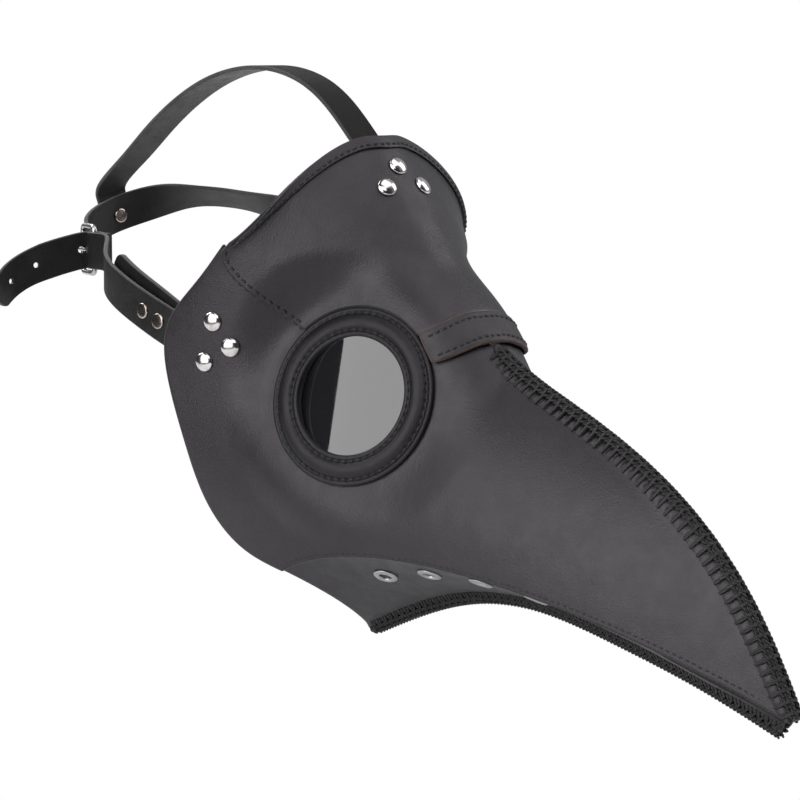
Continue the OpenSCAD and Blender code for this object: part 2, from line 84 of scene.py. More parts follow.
# ---- the shell's surface, as in part.scad
# Millimetres. Each rib of the right half is a curve from rear edge to front edge, with two handles between.
# They run from the forehead's top edge down to the seam with the under-beak panel.
RIBS = np.array([
    [[-66, 20, 47], [-59, -2, 63], [-22, 4, 91.5], [0, -3.5, 89]],
    [[-67, 36, 29], [-65, 7, 40], [-34, -27, 57], [0, -26, 58.5]],
    [[-71, 56, 12], [-66, 2, 16], [-16, -47, 26], [0, -50, 27]],
    [[-70, 54, -12], [-55, 10, -14], [-34, -64, -9], [0, -82.5, -4.6]],
    [[-66, 47, -38], [-56, -5, -45], [-38, -90, -38], [0, -126.8, -20.8]],
    [[-60, 41, -66], [-57, -20, -64], [-36, -120, -58], [0, -176.3, -45.5]],
    [[-54, 24, -85], [-53, -38, -68], [-28, -145, -72], [0, -215.6, -81.8]],
    [[-51, 0, -91], [-49, -56, -63], [-21, -160, -91], [0, -239.5, -125.5]]], float)
FRONT = RIBS[:, 3]
LAST = len(RIBS) - 1
KEEL = np.array([[0, 1, -121.5], [0, -30, -108], [0, -65, -96.8], [0, -105, -94.6], [0, -150, -104.3],
                 [0, -195, -114.4], [0, -238, -128.8]], float)
turn, tilt = math.radians(71), math.radians(16)
# The eye ring's centre, the way it faces, and its radii.
RING_C = np.array([-38.7, -32.5, -15.7])
RING_N = np.array([-math.sin(turn) * math.cos(tilt), -math.cos(turn) * math.cos(tilt), math.sin(tilt)])
RING_R, OPENING_R, OPENING_PLAY, FLAT_FADE = 38.0, 25.0, 1.5, 26.0
LEATHER_T, LAY_GAP = 1.8, 0.3
RING_MARGIN, BROW_ROUND = 0.6, 7.0
# A panel's seam edge stands this far off the middle plane, eased in over the seam allowance.
EDGE_X, SEAM_ALLOW = 1.1, 6.0
# The under-beak panel's top edge: how far up the side panel it laps, its gap, and how deep the panel bows.
LAP, LAP_GAP, LAP_DROP, UNDER_BOW = 0.13, 0.12, 0.5, 9.0
STEP = 0.01


def smooth(a, b, x):
    """0 below a, 1 above b, and an even S between them."""
    k = np.clip((numbers(x) - a) / (b - a), 0, 1)
    return k * k * (3 - 2 * k)


def numbers(values):
    return np.asarray(values, float)


def unit(v):
    return v / np.maximum(np.linalg.norm(v, axis=-1, keepdims=True), 1e-12)


def pair(a, b):
    """Two coordinates as arrays of one shape."""
    return np.broadcast_arrays(numbers(a), numbers(b))


def spline(p, t):
    """A point on the B-spline that starts and ends on the outer two of its control points."""
    p = numbers(p)
    ext = np.concatenate([[2 * p[0] - p[1]], p, [2 * p[-1] - p[-2]], [p[-1]]])
    t = np.clip(numbers(t), 0, len(p) - 1.000001)
    i = np.floor(t).astype(int)
    f = (t - i)[..., None]
    return ((1 - f) ** 3 * ext[i] + (3 * f ** 3 - 6 * f * f + 4) * ext[i + 1]
            + (-3 * f ** 3 + 3 * f * f + 3 * f + 1) * ext[i + 2] + f ** 3 * ext[i + 3]) / 6


def eye_radius(p):
    """Distance from the eye ring's axis."""
    d = p - RING_C
    return np.linalg.norm(d - (d @ RING_N)[..., None] * RING_N, axis=-1)


def surf(t, s):
    """The shell's inner face, flat at the eye ring: t counts ribs, s runs from rear edge to middle plane."""
    t, s = pair(t, s)
    rear, rear_handle, front_handle, front = [spline(RIBS[:, k], t) for k in range(4)]
    q = s[..., None]
    p = ((1 - q) ** 3 * rear + 3 * q * (1 - q) ** 2 * rear_handle
         + 3 * q * q * (1 - q) * front_handle + q ** 3 * front)
    off = (p - RING_C) @ RING_N
    w = 1 - smooth(RING_R + 2, RING_R + FLAT_FADE, eye_radius(p))
    return p - RING_N * (off * w)[..., None]


def normal_of(f, t, s):
    """The outward direction of surface f, not yet of length 1."""
    ds = f(t, np.minimum(s + STEP, 1)) - f(t, np.maximum(s - STEP, 0))
    dt = f(np.minimum(t + STEP, LAST), s) - f(np.maximum(t - STEP, 0), s)
    return np.cross(dt, ds)


def lift(t, s, d):
    """A point d outside the shell's inner face."""
    t, s = pair(t, s)
    return surf(t, s) + unit(normal_of(surf, t, s)) * numbers(d)[..., None]


def brow(t, s):
    """The forehead's surface: the shell's, with its ridge rounded over."""
    t, s = pair(t, s)
    p, q = surf(t, s), surf(t, np.ones_like(s))
    k = 1 - np.exp(-(p[..., 0] / BROW_ROUND) ** 2)
    w = 1 - smooth(2.2, 2.6, t)
    m = (1 - w + w * k)[..., None]
    out = q + (p - q) * m
    out[..., 0] = p[..., 0]
    return out


def brow_normal(t, s):
    t, s = pair(t, s)
    n = normal_of(brow, t, s)
    n[..., 0] = np.where(s > 0.999, 0, n[..., 0])
    return unit(n)


def brow_lift(t, s, d):
    return brow(t, s) + brow_normal(t, s) * numbers(d)[..., None]


def seam_t(s):
    """Where the forehead panel's lower edge runs."""
    return np.minimum(5.25 * s, 2.5 - 0.15 * smooth(0.8, 1, s))


def brow_t_at(s):
    """The forehead panel's lower edge, kept clear of the eye ring."""
    s = numbers(s)
    full = seam_t(s)
    lo, hi = np.full_like(s, 0.8), full.copy()
    for _ in range(14):
        mid = (lo + hi) / 2
        free = eye_radius(lift(mid, s, LEATHER_T)) > RING_R + RING_MARGIN
        lo, hi = np.where(free, mid, lo), np.where(free, hi, mid)
    return np.where(eye_radius(lift(full, s, LEATHER_T)) > RING_R + RING_MARGIN, full, lo)


def panel_top(s):
    """The side panel's top edge, lapped under the forehead panel."""
    return np.maximum(seam_t(s) - 0.3 * smooth(0.02, 0.2, s), 0.02)


def keep_off(p):
    """Holds a panel's points off the middle plane, where the two halves are sewn together."""
    p = np.array(p, float)
    x = p[..., 0]
    p[..., 0] = np.where(x < -SEAM_ALLOW, x, np.minimum(x, 0) * (1 - EDGE_X / SEAM_ALLOW) - EDGE_X)
    return p


def under_top(u):
    """The under-beak panel's top edge: behind the side panel, then edge to edge with it near the tip."""
    k = 1 - smooth(0.62, 0.86, u)
    down = np.zeros(np.shape(u) + (3,))
    down[..., 2] = LAP_DROP * (1 - k)
    return lift(LAST - LAP * k, u, -(LEATHER_T + LAP_GAP) * k) - down


def under_mid(u, v):
    """The under-beak panel's inner face: u runs from rear to tip, v from top edge to keel."""
    u, v = pair(u, v)
    b = spline(KEEL, u * (len(KEEL) - 1))
    out = under_top(u) * (1 - v)[..., None] + b * v[..., None]
    out[..., 1] -= UNDER_BOW * 4 * v * (1 - v) * (1 - u) ** 2
    return out


def under_normal(u, v):
    u, v = pair(u, v)
    du = under_mid(np.minimum(u + STEP, 1), v) - under_mid(np.maximum(u - STEP, 0), v)
    dv = under_mid(u, np.minimum(v + STEP, 1)) - under_mid(u, np.maximum(v - STEP, 0))
    return unit(np.cross(dv, du))


def under_lift(u, v, d):
    return under_mid(u, v) + under_normal(u, v) * numbers(d)[..., None]


# ---- mesh helpers
# Each helper returns a part: (points in mm, faces, material index of each face).
def distances(path):
    """How far along a path each of its points is."""
    return np.concatenate([[0], np.cumsum(np.linalg.norm(np.diff(path, axis=0), axis=1))])


def slab(outer, inner, keep=None, rings=3, bulge=0.85):
    """A sheet between two grids of points, with rounded cut edges: face 0, back 1, cut edges 2."""
    n, m = outer.shape[:2]
    count = n * m
    keep = np.ones((n - 1, m - 1), bool) if keep is None else keep
    ids = np.arange(count).reshape(n, m)
    a, b, c, d = ids[:-1, :-1][keep], ids[:-1, 1:][keep], ids[1:, 1:][keep], ids[1:, :-1][keep]
    quads = np.stack([a, b, c, d], 1)
    edges = np.concatenate([quads[:, [k, (k + 1) % 4]] for k in range(4)])
    key = edges[:, 0] * count + edges[:, 1]
    border = edges[~np.isin(edges[:, 1] * count + edges[:, 0], key)]
    o, i = outer.reshape(-1, 3), inner.reshape(-1, 3)
    up = unit(o - i)
    away = np.zeros_like(o)
    e = unit(np.cross(unit(o[border[:, 1]] - o[border[:, 0]]), (up[border[:, 0]] + up[border[:, 1]]) / 2))
    np.add.at(away, border[:, 0], e)
    np.add.at(away, border[:, 1], e)
    rim = np.unique(border)
    slot_of = -np.ones(count, int)
    slot_of[rim] = np.arange(len(rim))
    points = [o, i]
    half = (o[rim] - i[rim]) / 2
    size = np.linalg.norm(half, axis=1, keepdims=True) * bulge
    for k in range(1, rings + 1):
        angle = math.pi * k / (rings + 1)
        bow = unit(away[rim]) * size * math.sin(angle)
        points.append((o[rim] + i[rim]) / 2 + half * math.cos(angle) + bow)
    level = [lambda v: v] + [lambda v, k=k: 2 * count + k * len(rim) + slot_of[v] for k in range(rings)]
    level.append(lambda v: v + count)
    faces = [quads, quads[:, ::-1] + count]
    index = [np.zeros(len(quads), int), np.ones(len(quads), int)]
    for k in range(rings + 1):
        p, q = border[:, 0], border[:, 1]
        faces.append(np.stack([level[k](q), level[k](p), level[k + 1](p), level[k + 1](q)], 1))
        index.append(np.full(len(border), 2))
    return np.concatenate(points), np.concatenate(faces).tolist(), np.concatenate(index).tolist()


def corners_of(cells):
    """The grid points at the corners of the marked cells."""
    n, m = cells.shape
    corners = np.zeros((n + 1, m + 1), bool)
    for i in (0, 1):
        for j in (0, 1):
            corners[i:n + i, j:m + j] |= cells
    return corners


def grid_hole(p, r):
    """The cells of a grid outside the eye opening, and the grid with the opening's edge pulled round."""
    radius = eye_radius(p)
    centre = (radius[:-1, :-1] + radius[1:, :-1] + radius[:-1, 1:] + radius[1:, 1:]) / 4
    keep = centre > r
    edge = corners_of(~keep) & corners_of(keep)
    d = p - RING_C
    off = (d @ RING_N)[..., None] * RING_N
    snapped = RING_C + off + unit(d - off) * r
    return keep, np.where(edge[..., None], snapped, p)


def merge(*parts):
    """Several parts as one."""
    points, faces, index, base = [], [], [], 0
    for p, f, i in parts:
        points.append(numbers(p))
        faces += [[v + base for v in face] for face in f]
        index += list(i)
        base += len(p)
    return np.concatenate(points), faces, index


def mirrored(part):
    """The same part on the other side of the middle plane."""
    p, f, i = part
    return np.asarray(p) * [-1, 1, 1], [list(face)[::-1] for face in f], i


def basis(n):
    """Two directions square to n, and n."""
    n = unit(numbers(n))
    side = np.array([1.0, 0, 0]) if abs(n[2]) > 0.9 else np.array([0, 0, 1.0])
    x = unit(np.cross(side, n))
    return x, np.cross(n, x), n


def lathe(profile, p, n, segs=48, loop=False):
    """A turned part: profile is (radius, height) pairs, bottom up; loop closes a ring."""
    x, y, z = basis(n)
    angle = np.arange(segs) * 2 * math.pi / segs
    round_ = np.cos(angle)[:, None] * x + np.sin(angle)[:, None] * y
    points, faces, rows = [], [], []
    count = 0
    for r, h in profile:
        if r < 1e-6:
            points.append((np.asarray(p) + z * h)[None])
            rows.append([count])
            count += 1
        else:
            points.append(np.asarray(p) + round_ * r + z * h)
            rows.append(list(range(count, count + segs)))
            count += segs
    pairs = list(zip(rows, rows[1:])) + ([(rows[-1], rows[0])] if loop else [])
    for low, high in pairs:
        for k in range(segs):
            j = (k + 1) % segs
            if len(low) == 1:
                faces.append([low[0], high[j], high[k]])
            elif len(high) == 1:
                faces.append([low[k], low[j], high[0]])
            else:
                faces.append([low[k], low[j], high[j], high[k]])
    return np.concatenate(points), faces, [0] * len(faces)


def rounded(points, radius, steps=4, loop=False):
    """A profile with its corners rounded."""
    out = []
    count = len(points)
    for k, q in enumerate(points):
        q = np.array(q, float)
        if not loop and k in (0, count - 1):
            out.append(tuple(q))
            continue
        a, b = np.array(points[k - 1], float) - q, np.array(points[(k + 1) % count], float) - q
        la, lb = np.linalg.norm(a), np.linalg.norm(b)
        cut = min(radius, la * 0.48, lb * 0.48)
        start, end = q + a / la * cut, q + b / lb * cut
        for i in range(steps + 1):
            f = i / steps
            out.append(tuple((1 - f) ** 2 * start + 2 * f * (1 - f) * q + f * f * end))
    return out


def skin(rings, sides, loop=False, base=0):
    """Faces between rings of points, closed at both ends unless it is a loop."""
    faces = []
    for i in range(rings if loop else rings - 1):
        low, high = base + i * sides, base + (i + 1) % rings * sides
        for j in range(sides):
            k = (j + 1) % sides
            faces.append([low + j, low + k, high + k, high + j])
    if not loop:
        first, last = range(base, base + sides), range(base + (rings - 1) * sides, base + rings * sides)
        faces += [list(first)[::-1], list(last)]
    return faces


def sweep(centre, wide, out, section, index_of, scale=None):
    """A closed section of (across, out) pairs swept along frames; index_of is each side's material."""
    n, k = len(centre), len(section)
    sec = numbers(section)
    scale = np.ones(n) if scale is None else scale
    pts = (centre[:, None] + wide[:, None] * (sec[None, :, 0] * scale[:, None])[..., None]
           + out[:, None] * sec[None, :, 1][..., None]).reshape(-1, 3)
    return pts, skin(n, k), index_of * (n - 1) + [max(index_of)] * 2


def tube(path, r, sides=8, loop=False):
    """A round thread or wire along a path; r may change along it."""
    path = numbers(path)
    n = len(path)
    r = np.broadcast_to(numbers(r), (n,))
    if loop:
        tangent = unit(np.roll(path, -1, 0) - np.roll(path, 1, 0))
    else:
        tangent = unit(np.gradient(path, axis=0))
    guess = basis(tangent[0])[0]
    across = np.zeros_like(path)
    for i in range(n):
        guess = unit(guess - (guess @ tangent[i]) * tangent[i])
        across[i] = guess
    other = np.cross(tangent, across)
    angle = np.arange(sides) * 2 * math.pi / sides
    pts = (path[:, None] + across[:, None] * (np.cos(angle)[None] * r[:, None])[..., None]
           + other[:, None] * (np.sin(angle)[None] * r[:, None])[..., None]).reshape(-1, 3)
    faces = skin(n, sides, loop)
    return pts, faces, [0] * len(faces)


def curve_through(points, count):
    """Evenly spaced points on a smooth curve through a few points."""
    p = numbers(points)
    ext = np.concatenate([[2 * p[0] - p[1]], p, [2 * p[-1] - p[-2]]])
    out = []
    for i in range(1, len(ext) - 2):
        a, b, c, d = ext[i - 1], ext[i], ext[i + 1], ext[i + 2]
        for f in np.linspace(0, 1, 8, endpoint=False):
            out.append(0.5 * (2 * b + (c - a) * f + (2 * a - 5 * b + 4 * c - d) * f * f
                              + (3 * b - a - 3 * c + d) * f ** 3))
    out.append(p[-1])
    return resample(np.array(out), count)


def resample(path, count):
    """The same path with evenly spaced points."""
    length = distances(path)
    at = np.linspace(0, length[-1], count)
    return np.stack([np.interp(at, length, path[:, k]) for k in range(3)], 1)


def dashes(path, normals, pitch=3.5, share=0.74, r=0.5, sink=0.25, count=None):
    """A row of sewn stitches along a path, each a short thread that dives in at both ends."""
    path, normals = numbers(path), numbers(normals)
    length = distances(path)
    count = count or max(int(round(length[-1] / pitch)), 2)
    at = (np.arange(count) + 0.5) * length[-1] / count
    step = length[-1] / count

    def pick(values, where):
        return np.stack([np.interp(where, length, values[:, k]) for k in range(3)], 1)

    centre = pick(path, at)
    along = unit(pick(path, at + step * 0.3) - pick(path, at - step * 0.3))
    up = unit(pick(normals, at))
    side = unit(np.cross(along, up))
    along = unit(along + side * rng.normal(0, 0.05, (count, 1)))
    loops, sides = 7, 8
    angle = np.arange(sides) * 2 * math.pi / sides
    reach = step * share / 2
    pts = []
    for x in np.linspace(-1, 1, loops):
        rad = r * (1 - 0.35 * x ** 4)
        high = -sink + 0.45 * r - 0.75 * r * x ** 4
        for q in angle:
            rise = high + rad * 0.85 * math.sin(q)
            pts.append(centre + along * (x * reach) + side * (rad * math.cos(q)) + up * rise)
    pts = np.stack(pts, 1)
    faces = []
    for k in range(count):
        faces += skin(loops, sides, base=k * loops * sides)
    return pts.reshape(-1, 3), faces, [0] * len(faces)


def make(name, part, materials, body="mask", nodes=(), slot=None, sharp=35):
    """A finished piece. A slot name is worked out from the given one or the first material's name, but not
    used.
    """
    points, faces, index = part
    me = bpy.data.meshes.new(name)
    me.from_pydata((np.asarray(points) * MM).tolist(), [], faces)
    for m in materials:
        me.materials.append(m)
    me.polygons.foreach_set("material_index", [min(i, len(materials) - 1) for i in index])
    me.polygons.foreach_set("use_smooth", [True] * len(faces))
    me.set_sharp_from_angle(angle=math.radians(sharp))
    me.update()
    piece = placed(name, me)
    if body:
        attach(piece, body)
    if nodes:
        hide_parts(*nodes)
    slot = slot or materials[0].name.split(".")[0]
    return piece


# ---- materials
def shader(name, colour, rough, metallic=0.0, specular=0.5):
    """A new material, its node tree and its shader."""
    mat = bpy.data.materials.new(name)
    mat.use_nodes = True
    tree = mat.node_tree
    bsdf = tree.nodes["Principled BSDF"]
    bsdf.inputs["Base Color"].default_value = (*colour, 1)
    bsdf.inputs["Roughness"].default_value = rough
    bsdf.inputs["Metallic"].default_value = metallic
    bsdf.inputs["Specular IOR Level"].default_value = specular
    return mat, tree, bsdf


def add(tree, kind, **values):
    """A node with its settings and sockets filled in."""
    node = tree.nodes.new(kind)
    for key, value in values.items():
        if hasattr(node, key):
            setattr(node, key, value)
        else:
            node.inputs[key.replace("_", " ")].default_value = value
    return node


def coords(tree, stretch=(1, 1, 1)):
    """Places on the object itself, in metres."""
    place = tree.nodes.new("ShaderNodeTexCoord")
    scale = tree.nodes.new("ShaderNodeMapping")
    scale.inputs["Scale"].default_value = stretch
    tree.links.new(place.outputs["Object"], scale.inputs["Vector"])
    return scale.outputs["Vector"]


def noise(tree, where, scale, detail=3.0, rough=0.55):
    node = add(tree, "ShaderNodeTexNoise", Scale=scale, Detail=detail, Roughness=rough)
    tree.links.new(where, node.inputs["Vector"])
    return node.outputs["Fac"]


def ranged(tree, value, low, high, out_low, out_high):
    node = tree.nodes.new("ShaderNodeMapRange")
    for k, v in (("From Min", low), ("From Max", high), ("To Min", out_low), ("To Max", out_high)):
        node.inputs[k].default_value = v
    tree.links.new(value, node.inputs["Value"])
    return node.outputs["Result"]


def blend_colours(tree, fac, a, b):
    node = tree.nodes.new("ShaderNodeMix")
    node.data_type = "RGBA"
    node.inputs[6].default_value = (*a, 1)
    node.inputs[7].default_value = (*b, 1)
    tree.links.new(fac, node.inputs[0])
    return node.outputs[2]


def tint(tree, bsdf, fac, a, b):
    """Colour that changes between two."""
    tree.links.new(blend_colours(tree, fac, a, b), bsdf.inputs["Base Color"])


def gloss(tree, bsdf, value, low, high, rough_low, rough_high):
    """Roughness that follows a pattern."""
    tree.links.new(ranged(tree, value, low, high, rough_low, rough_high), bsdf.inputs["Roughness"])


def bump(tree, bsdf, layers):
    """Bump layers, each (height, strength, distance in metres), coarse first."""
    last = None
    for height, strength, distance in layers:
        node = tree.nodes.new("ShaderNodeBump")
        node.inputs["Strength"].default_value = strength
        node.inputs["Distance"].default_value = distance
        tree.links.new(height, node.inputs["Height"])
        if last:
            tree.links.new(last, node.inputs["Normal"])
        last = node.outputs["Normal"]
    tree.links.new(last, bsdf.inputs["Normal"])


def leather(name, dark, light, rough=(0.38, 0.5), grain=1.0, pebble=1500, specular=0.5, creases=0.5):
    """Finished leather: broad colour changes, uneven gloss, creases, pores and grain."""
    mat, tree, bsdf = shader(name, dark, 0.45, specular=specular)
    bsdf.inputs["Specular Tint"].default_value = (0.99, 0.93, 1.0, 1)
    where = coords(tree)
    wide = noise(tree, where, 22, 4)
    fine = noise(tree, where, 900, 4, 0.6)
    tint(tree, bsdf, ranged(tree, wide, 0.35, 0.7, 0, 1), dark, light)
    gloss(tree, bsdf, noise(tree, where, 130, 5, 0.6), 0.3, 0.7, *rough)
    cells = add(tree, "ShaderNodeTexVoronoi", feature="F1", Scale=pebble)
    tree.links.new(where, cells.inputs["Vector"])
    soft = noise(tree, where, 60, 3)
    pores = cells.outputs["Distance"]
    bump(tree, bsdf, [(soft, creases, 0.0008), (pores, 0.5 * grain, 0.00016), (fine, 0.5 * grain, 0.00012)])
    return mat


def thread(name, dark, light):
    """Waxed thread with its twist and fuzz."""
    mat, tree, bsdf = shader(name, dark, 0.5, specular=0.45)
    where = coords(tree)
    twist = add(tree, "ShaderNodeTexWave", Scale=700, Distortion=1.5, wave_type="BANDS",
                bands_direction="DIAGONAL")
    tree.links.new(where, twist.inputs["Vector"])
    fuzz = noise(tree, where, 2500, 4)
    tint(tree, bsdf, twist.outputs["Fac"], dark, light)
    gloss(tree, bsdf, fuzz, 0.3, 0.7, 0.42, 0.62)
    bump(tree, bsdf, [(twist.outputs["Fac"], 0.6, 0.00025), (fuzz, 0.4, 0.0001)])
    return mat


def metal(name, dark, light, rough=(0.08, 0.2), scratch=0.12):
    """Plated metal with tarnish patches and fine scratches."""
    mat, tree, bsdf = shader(name, light, rough[0], metallic=1.0)
    where = coords(tree)
    patch = noise(tree, where, 260, 5, 0.65)
    streak = noise(tree, coords(tree, (1, 1, 9)), 900, 3)
    tint(tree, bsdf, ranged(tree, patch, 0.35, 0.75, 0, 1), light, dark)
    gloss(tree, bsdf, patch, 0.3, 0.75, *rough)
    bump(tree, bsdf, [(streak, scratch, 0.00005)])
    return mat


def suede(name, dark, light, fibre=1800, sheen=0.25):
    """Raw leather: the lining side and the cut edges."""
    mat, tree, bsdf = shader(name, dark, 0.9, specular=0.2)
    bsdf.inputs["Sheen Weight"].default_value = sheen
    bsdf.inputs["Sheen Roughness"].default_value = 0.5
    where = coords(tree)
    nap = noise(tree, where, fibre, 5, 0.7)
    blotch = noise(tree, where, 70, 4)
    tint(tree, bsdf, ranged(tree, blotch, 0.3, 0.7, 0, 1), dark, light)
    gloss(tree, bsdf, nap, 0.3, 0.7, 0.8, 0.98)
    bump(tree, bsdf, [(nap, 0.7, 0.0003)])
    return mat


def glass(name):
    """Dark tinted plastic glass with a clear coat, smears and dust."""
    mat, tree, bsdf = shader(name, (0.012, 0.012, 0.014), 0.05, specular=0.7)
    bsdf.inputs["Transmission Weight"].default_value = 0.25
    bsdf.inputs["IOR"].default_value = 1.49
    bsdf.inputs["Coat Weight"].default_value = 1.0
    bsdf.inputs["Coat Roughness"].default_value = 0.04
    smear = noise(tree, coords(tree, (1, 3, 1)), 90, 4)
    dust = noise(tree, coords(tree), 1400, 2)
    gloss(tree, bsdf, smear, 0.35, 0.75, 0.03, 0.1)
    bump(tree, bsdf, [(dust, 0.02, 0.00004)])
    return mat


SHELL = leather("shell_leather", (0.0085, 0.0076, 0.0088), (0.0125, 0.0112, 0.0128))
BROW = leather("brow_leather", (0.0083, 0.0078, 0.0086), (0.0122, 0.0118, 0.0124))
TRIM = leather("trim_leather", (0.009, 0.0085, 0.009), (0.014, 0.013, 0.0138), rough=(0.42, 0.56), grain=1.1)
RING = leather("ring_leather", (0.0065, 0.0062, 0.007), (0.0105, 0.01, 0.011), specular=0.3, creases=0.3)
STRAP = leather("strap_leather", (0.0062, 0.0066, 0.0062), (0.0105, 0.0112, 0.0105), rough=(0.36, 0.5),
                grain=0.8, pebble=1900, specular=0.36)
STRAP_BACK = suede("strap_back", (0.006, 0.0058, 0.0055), (0.011, 0.0105, 0.01), sheen=0.04)
LINING = suede("lining", (0.022, 0.02, 0.019), (0.035, 0.031, 0.029))
CUT = suede("cut_edge", (0.03, 0.028, 0.027), (0.055, 0.05, 0.047), fibre=2600)
CUT_DARK = suede("cut_edge_dark", (0.014, 0.013, 0.013), (0.024, 0.022, 0.022), fibre=2600)
CUT_BROWN = suede("cut_edge_brown", (0.045, 0.026, 0.02), (0.075, 0.045, 0.036), fibre=2600)
THREAD = thread("seam_thread", (0.006, 0.006, 0.0065), (0.013, 0.0125, 0.0135))
CHROME = metal("dome_chrome", (0.45, 0.42, 0.42), (0.8, 0.77, 0.77), rough=(0.14, 0.24))
NICKEL = metal("cap_nickel", (0.3, 0.24, 0.21), (0.6, 0.53, 0.49), rough=(0.14, 0.3))
EYELET = metal("eyelet_metal", (0.3, 0.3, 0.3), (0.5, 0.49, 0.5), rough=(0.28, 0.42))
STEEL = metal("buckle_steel", (0.3, 0.3, 0.31), (0.62, 0.62, 0.63), rough=(0.16, 0.34), scratch=0.2)
LENS = glass("tinted_lens")


# ---- leather panels
def both(name, part, materials, node=None, **more):
    """The right piece and its mirror image on the left."""
    made = []
    for side, p in (("right", part), ("left", mirrored(part))):
        nodes = [f"{node}_{side}"] if node else []
        made.append(make(f"{name}_{side}", p, materials, nodes=nodes, **more))
    return made


def side_panel():
    s = np.linspace(0, 1, 150)[:, None]
    k = np.linspace(0, 1, 170)[None]
    top = panel_top(s)
    t = top + (LAST - top) * k
    p = surf(t, s)
    n = unit(normal_of(surf, t, s))
    keep, p = grid_hole(p, OPENING_R + OPENING_PLAY)
    return slab(keep_off(p + n * LEATHER_T), keep_off(p), keep)


def whole(half):
    """A right half's rows of points, carried on over the middle plane."""
    return np.concatenate([half, (half * [-1, 1, 1])[-2::-1]])


def on_brow(t, s, low, high, **more):
    """A sheet on the forehead's surface, between two heights over it."""
    return slab(whole(brow_lift(t, s, high)), whole(brow_lift(t, s, low)), **more)


BROW_IN, BROW_OUT = LEATHER_T + LAY_GAP, 2 * LEATHER_T + LAY_GAP
brow_rows = np.linspace(1 / 26, 1, 120)
brow_low = brow_t_at(brow_rows)


def forehead():
    s = brow_rows[:, None]
    return on_brow(brow_low[:, None] * np.linspace(0, 1, 70)[None], s, BROW_IN, BROW_OUT)


HEM_IN = LEATHER_T + LAY_GAP + 0.6
HEM_OUT = HEM_IN + LEATHER_T + 0.2
HEM_START, HEM_WIDTH = 0.015, 0.34
BINDING_W, BINDING_T = 5.5, 0.8


def hem():
    s = np.linspace(0.8, 1, 40)[:, None]
    t = seam_t(s) + HEM_START + HEM_WIDTH * np.linspace(0, 1, 22)[None]
    return on_brow(t, s, HEM_IN, HEM_OUT)


def binding():
    s = np.linspace(0.1, 1, 110)[:, None]
    share = BINDING_W / np.linalg.norm(surf(0.5, s) - surf(0, s), axis=-1) / 2
    low = BROW_OUT + LAY_GAP
    return on_brow(share * np.linspace(0, 1, 10)[None], s, low, low + BINDING_T, bulge=1.0)


def under_panel():
    u = 0.99 * np.linspace(0, 1, 130)[:, None]
    v = np.linspace(0, 1, 40)[None]
    p, n = under_mid(u, v), under_normal(u, v)
    return slab(keep_off(p + n * LEATHER_T), keep_off(p))


both("side_skin", side_panel(), [SHELL, LINING, CUT_DARK], "side_panel")
make("forehead_skin", forehead(), [BROW, LINING, CUT_DARK], nodes=["forehead_panel"])
make("bridge_band", hem(), [TRIM, LINING, CUT_BROWN], nodes=["bridge_hem"])
make("forehead_fold", binding(), [TRIM, LINING, TRIM], nodes=["forehead_binding"])
both("under_skin", under_panel(), [SHELL, LINING, CUT_DARK], "under_panel")


# ---- seams
def even(f, lo, hi, pitch):
    """Parameter values evenly spaced along the curve f between lo and hi."""
    q = np.linspace(lo, hi, 400)
    length = distances(f(q))
    count = int(round(length[-1] / pitch))
    return np.interp((np.arange(count) + 0.5) * length[-1] / count, length, q)


def front_at(t):
    return spline(FRONT, t)


def front_out(t):
    d = spline(FRONT, np.minimum(t + STEP, LAST)) - spline(FRONT, t - STEP)
    return unit(np.stack([np.zeros_like(d[..., 0]), d[..., 2], -d[..., 1]], -1))


def keel_at(u):
    return spline(KEEL, u * (len(KEEL) - 1))


def keel_out(u):
    d = keel_at(np.minimum(u + STEP, 1)) - keel_at(np.maximum(u - STEP, 0))
    return unit(np.stack([np.zeros_like(d[..., 0]), -d[..., 2], d[..., 1]], -1))


def seam_core(at, out, lo, hi, steps):
    """The two raw edges, pressed together and rounded over by the overlock."""
    q = np.linspace(lo, hi, steps)
    right = [(0.8, 0.2), (2.1, 1.2), (2.2, 2.9), (1.1, 3.75)]
    section = rounded(right + [(-a, b) for a, b in right[::-1]], 0.7, 3, loop=True)
    centre, up = at(q), out(q)
    wide = np.tile([1.0, 0, 0], (steps, 1))
    along = unit(np.gradient(centre, axis=0))
    if np.cross(wide[0], up[0]) @ along[0] < 0:
        section = [(-a, b) for a, b in section]
    return sweep(centre, wide, up, section, [0] * len(section))


def rope(path, along, up, turns_per_mm, r):
    """Two strands laid round each other."""
    side = unit(np.cross(along, up))
    phase = 2 * math.pi * turns_per_mm * distances(path)
    strands = []
    for start in (0, math.pi):
        off = side * np.cos(phase + start)[:, None] + up * np.sin(phase + start)[:, None]
        strands.append(tube(path + off * r * 0.62, r * 0.72, 6))
    return merge(*strands)


